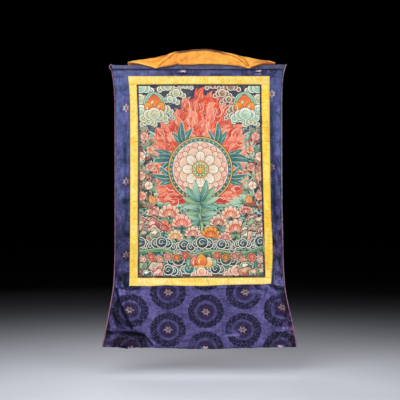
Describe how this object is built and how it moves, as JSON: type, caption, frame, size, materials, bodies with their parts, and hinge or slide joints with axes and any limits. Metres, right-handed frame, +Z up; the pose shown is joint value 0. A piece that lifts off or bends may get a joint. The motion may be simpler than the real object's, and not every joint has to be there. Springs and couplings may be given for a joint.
{
  "type": "thangka scroll painting",
  "caption": "Hung cloth scroll: painted canvas framed in yellow silk on indigo brocade, with a rolled heading, piped sides and an orange silk cover thrown back over the top.",
  "frame": {"origin": "middle of the heading's top edge, where the scroll is held up", "axes": "+Z up, the painted front faces -Y, +X to the right as seen from the front"},
  "size_m": [0.7437, 0.0312, 1.1359],
  "materials": {
    "indigo_brocade": "woven silk brocade, soft sheen",
    "painted_canvas": "matt mineral paint on primed cotton",
    "yellow_silk": "plain woven silk, worn",
    "mauve_piping": "faded corded binding",
    "orange_silk": "thin crumpled silk, soft sheen"
  },
  "bodies": {
    "root": {"brocade_top": "indigo_brocade", "brocade_left": "indigo_brocade", "brocade_right": "indigo_brocade", "brocade_skirt": "indigo_brocade", "heading": "indigo_brocade", "painting": "painted_canvas", "strip_top": "yellow_silk", "strip_foot": "yellow_silk", "strip_left": "yellow_silk", "strip_right": "yellow_silk", "piping_left": "mauve_piping", "piping_right": "mauve_piping", "cover": "orange_silk"}
  },
  "joints": []
}
